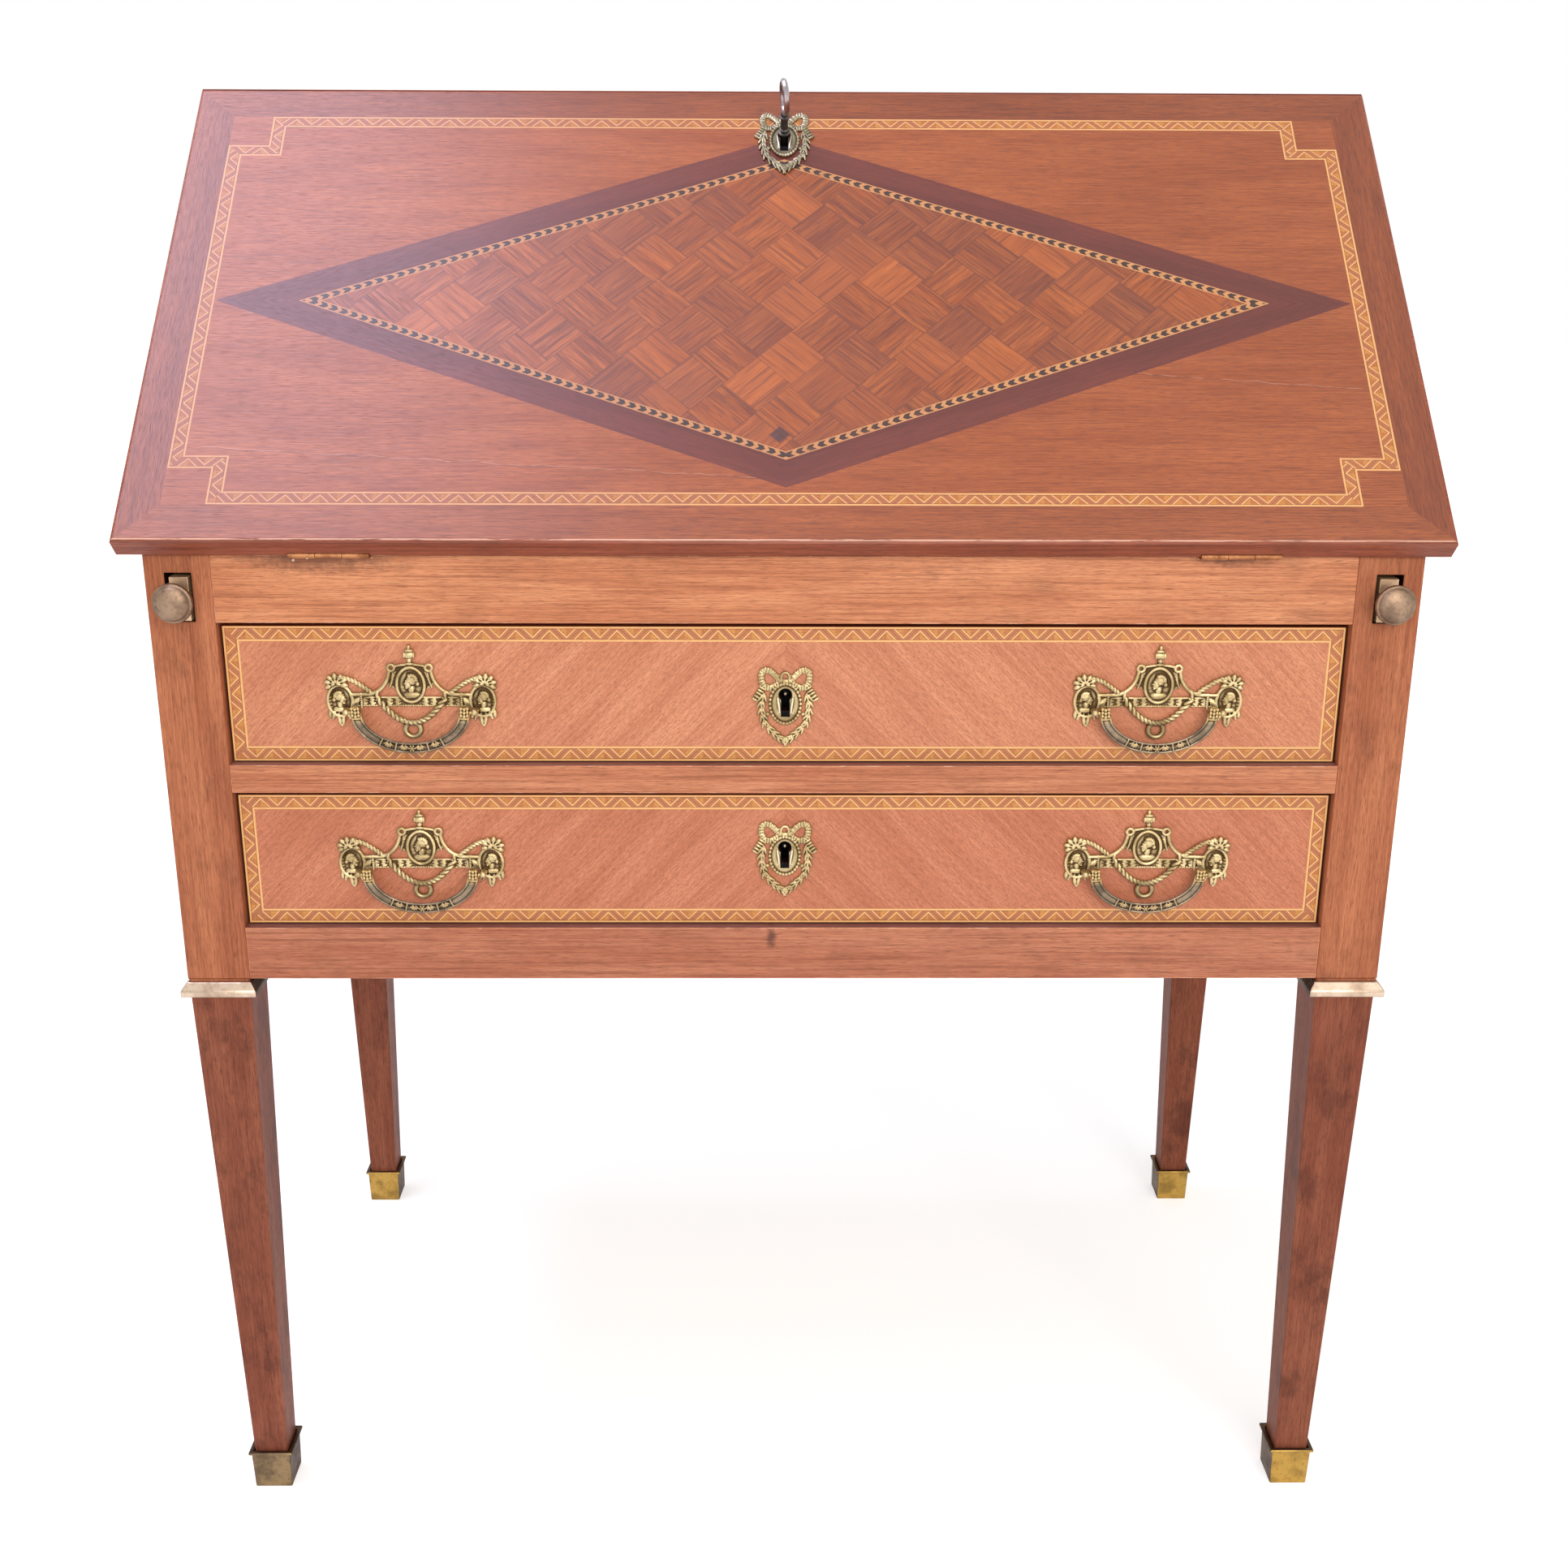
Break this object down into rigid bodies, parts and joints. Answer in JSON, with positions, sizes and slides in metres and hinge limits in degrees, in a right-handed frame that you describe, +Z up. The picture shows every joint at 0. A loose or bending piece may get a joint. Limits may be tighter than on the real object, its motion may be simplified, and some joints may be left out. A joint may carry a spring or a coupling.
{
  "type": "slant-front desk",
  "caption": "Slant-front writing desk on tapered legs: a marquetry lid folds forward onto pull-out supports above drawers with hanging bail handles.",
  "frame": {"origin": "on the floor, below the middle of the desk's bounding box", "axes": "+Z up, front of the desk towards -Y, +X to the viewer's right"},
  "size_m": [0.828, 0.4686, 0.9945],
  "materials": {
    "case_wood": "polished red-brown hardwood",
    "lid_veneer": "polished marquetry veneer",
    "drawer_veneer": "polished veneer, diagonal grain",
    "lining_wood": "plain unpolished wood",
    "brass": "aged brass with dark hollows",
    "lock_iron": "dark iron",
    "leather": "worn brown leather"
  },
  "bodies": {
    "case": {"front_left_leg": "case_wood", "front_right_leg": "case_wood", "rear_left_leg": "case_wood", "rear_right_leg": "case_wood", "left_side_panel": "case_wood", "right_side_panel": "case_wood", "back_panel": "lining_wood", "top_board": "case_wood", "top_rail": "case_wood", "middle_rail": "case_wood", "bottom_rail": "case_wood", "writing_bed": "case_wood", "upper_drawer_runners": "lining_wood", "lower_drawer_runners": "lining_wood", "loper_guides": "lining_wood", "leg_collars": "brass", "leg_cups": "brass", "hinge_rail_leaves": "brass", "hinge_pins": "brass", "lid_strike_plate": "brass", "gallery_shelf": "case_wood", "gallery_partitions": "case_wood"},
    "lid": {"lid_panel": "lid_veneer", "lid_leather": "leather", "hinge_lid_leaves": "brass", "lid_lock_case": "lock_iron", "lid_escutcheon": "brass"},
    "lid_key": {"lid_key": "brass"},
    "lid_bolt": {"lid_lock_bolt": "lock_iron"},
    "left_loper": {"left_loper_bar": "lining_wood", "left_loper_cap": "brass", "left_loper_knob": "brass"},
    "right_loper": {"right_loper_bar": "lining_wood", "right_loper_cap": "brass", "right_loper_knob": "brass"},
    "upper_drawer": {"upper_drawer_front": "drawer_veneer", "upper_drawer_sides": "lining_wood", "upper_drawer_back": "lining_wood", "upper_drawer_bottom": "lining_wood", "upper_drawer_lock": "lock_iron", "upper_drawer_escutcheon": "brass", "upper_left_handle_plate": "brass", "upper_right_handle_plate": "brass"},
    "upper_drawer_bolt": {"upper_drawer_lock_bolt": "lock_iron"},
    "upper_left_bail": {"upper_left_bail": "brass"},
    "upper_right_bail": {"upper_right_bail": "brass"},
    "lower_drawer": {"lower_drawer_front": "drawer_veneer", "lower_drawer_sides": "lining_wood", "lower_drawer_back": "lining_wood", "lower_drawer_bottom": "lining_wood", "lower_drawer_lock": "lock_iron", "lower_drawer_escutcheon": "brass", "lower_left_handle_plate": "brass", "lower_right_handle_plate": "brass"},
    "lower_drawer_bolt": {"lower_drawer_lock_bolt": "lock_iron"},
    "lower_left_bail": {"lower_left_bail": "brass"},
    "lower_right_bail": {"lower_right_bail": "brass"},
    "left_small_drawer": {"left_small_drawer": "lining_wood"},
    "right_small_drawer": {"right_small_drawer": "lining_wood"}
  },
  "joints": [
    {"name": "lid_hinge", "type": "hinge", "parent": "case", "child": "lid", "pos_m": [0, -0.2189, 0.7036], "axis": [1, 0, 0], "range_deg": [0, 135]},
    {"name": "key_turn", "type": "hinge", "parent": "lid", "child": "lid_key", "pos_m": [0, 0.02505, 0.94755], "axis": [0, -0.7071, 0.7071], "range_deg": [0, 180]},
    {"name": "lid_bolt_slide", "type": "slide", "parent": "lid", "child": "lid_bolt", "axis": [0, 0.7071, 0.7071], "range_m": [0, 0.006]},
    {"name": "left_loper_slide", "type": "slide", "parent": "case", "child": "left_loper", "axis": [0, -1, 0], "range_m": [0, 0.25]},
    {"name": "right_loper_slide", "type": "slide", "parent": "case", "child": "right_loper", "axis": [0, -1, 0], "range_m": [0, 0.25]},
    {"name": "upper_drawer_slide", "type": "slide", "parent": "case", "child": "upper_drawer", "axis": [0, -1, 0], "range_m": [0, 0.3]},
    {"name": "upper_drawer_bolt_slide", "type": "slide", "parent": "upper_drawer", "child": "upper_drawer_bolt", "axis": [0, 0, 1], "range_m": [0, 0.006]},
    {"name": "upper_left_bail_swing", "type": "hinge", "parent": "upper_drawer", "child": "upper_left_bail", "pos_m": [-0.2395, -0.2158, 0.60181], "axis": [-1, 0, 0], "range_deg": [0, 85]},
    {"name": "upper_right_bail_swing", "type": "hinge", "parent": "upper_drawer", "child": "upper_right_bail", "pos_m": [0.2395, -0.2158, 0.60181], "axis": [-1, 0, 0], "range_deg": [0, 85]},
    {"name": "lower_drawer_slide", "type": "slide", "parent": "case", "child": "lower_drawer", "axis": [0, -1, 0], "range_m": [0, 0.3]},
    {"name": "lower_drawer_bolt_slide", "type": "slide", "parent": "lower_drawer", "child": "lower_drawer_bolt", "axis": [0, 0, 1], "range_m": [0, 0.006]},
    {"name": "lower_left_bail_swing", "type": "hinge", "parent": "lower_drawer", "child": "lower_left_bail", "pos_m": [-0.2395, -0.2158, 0.49127], "axis": [-1, 0, 0], "range_deg": [0, 85]},
    {"name": "lower_right_bail_swing", "type": "hinge", "parent": "lower_drawer", "child": "lower_right_bail", "pos_m": [0.2395, -0.2158, 0.49127], "axis": [-1, 0, 0], "range_deg": [0, 85]},
    {"name": "left_small_drawer_slide", "type": "slide", "parent": "case", "child": "left_small_drawer", "axis": [0, -1, 0], "range_m": [0, 0.08]},
    {"name": "right_small_drawer_slide", "type": "slide", "parent": "case", "child": "right_small_drawer", "axis": [0, -1, 0], "range_m": [0, 0.08]}
  ],
  "couplings": [
    {"joint": "lid_bolt_slide", "follows": "key_turn", "m_per_rad": 0.0019099}
  ]
}
